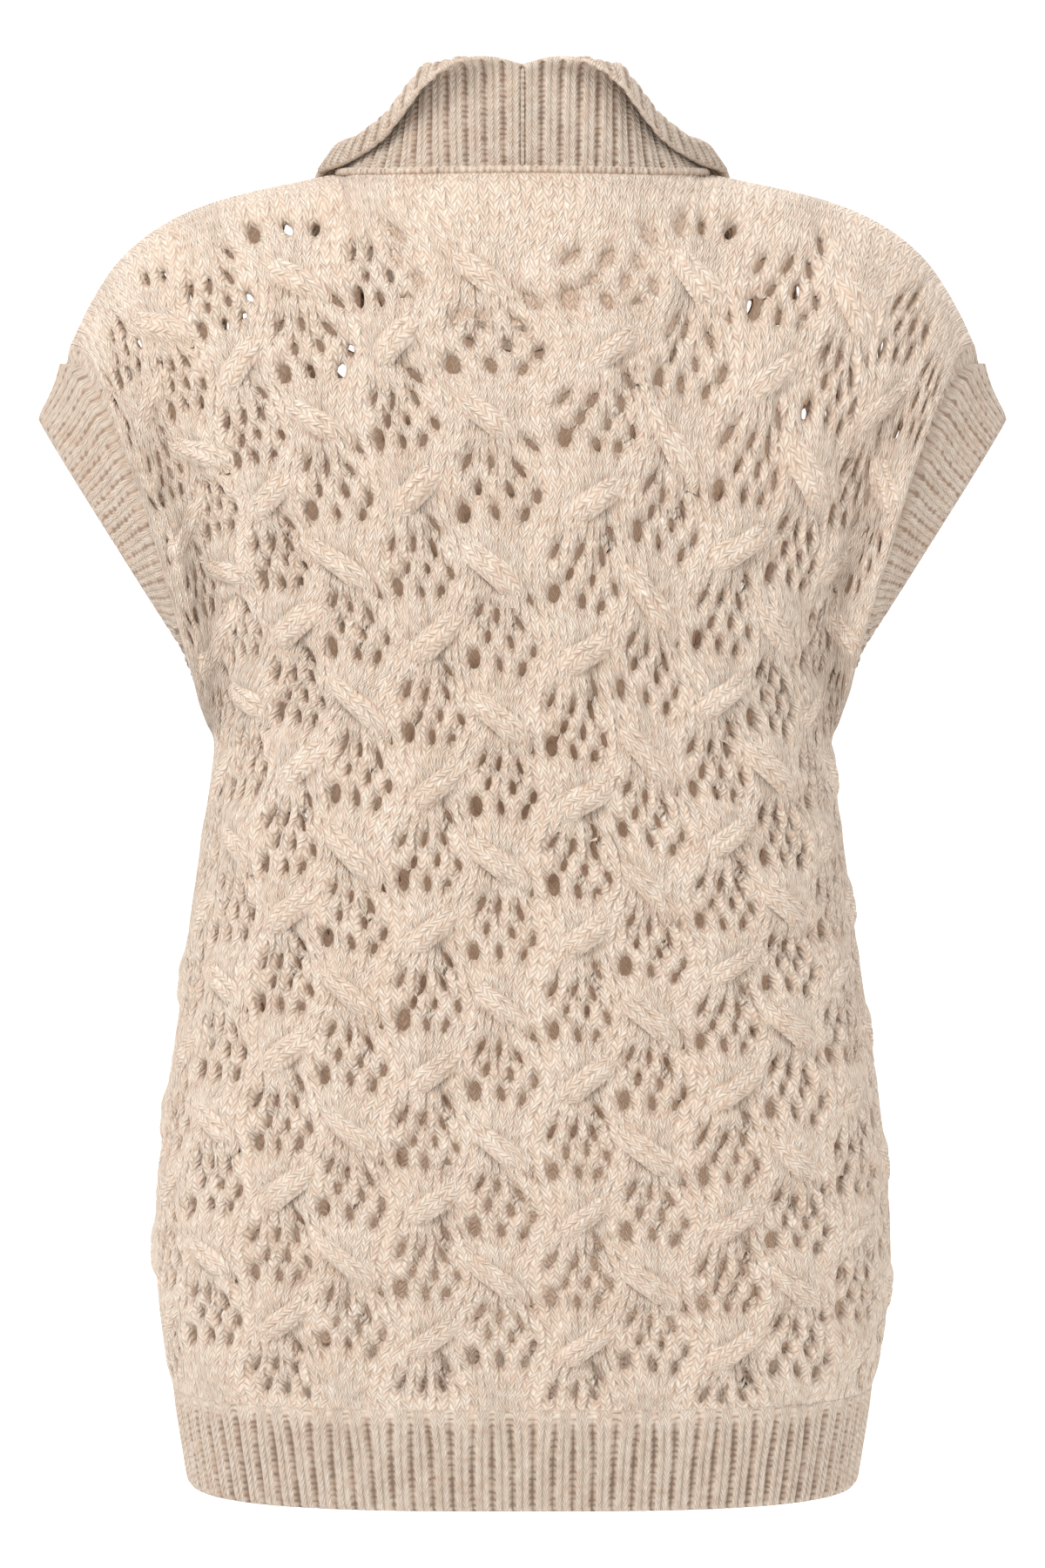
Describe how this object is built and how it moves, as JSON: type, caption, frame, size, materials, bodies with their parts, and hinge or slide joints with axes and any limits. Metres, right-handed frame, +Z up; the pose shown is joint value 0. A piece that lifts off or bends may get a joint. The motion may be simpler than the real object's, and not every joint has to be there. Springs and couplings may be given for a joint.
{
  "type": "sleeveless sweater",
  "caption": "Sleeveless pullover in thick cable-and-lace knit, worn shape with nothing inside: boxy body, ribbed hem and armbands, and a rolled ribbed collar that stands high at the back.",
  "frame": {"origin": "middle of the neck opening at the height of the shoulder points, where a wearer's shoulders carry the garment", "axes": "+Z up; the back of the garment faces -Y and its front +Y; +X is to the right when it is seen from behind"},
  "size_m": [0.4788, 0.2465, 0.6852],
  "materials": {
    "cable_lace_knit": "soft matt heathered wool, thick cable and lace stitch with open holes, slight nap",
    "rib_knit": "soft matt heathered wool, ribbed stitch, slight nap"
  },
  "bodies": {
    "root": {"back_panel": "cable_lace_knit", "front_panel": "cable_lace_knit", "back_hem_rib": "rib_knit", "front_hem_rib": "rib_knit", "armband_left": "rib_knit", "armband_right": "rib_knit", "collar_left": "rib_knit", "collar_right": "rib_knit"}
  },
  "joints": []
}
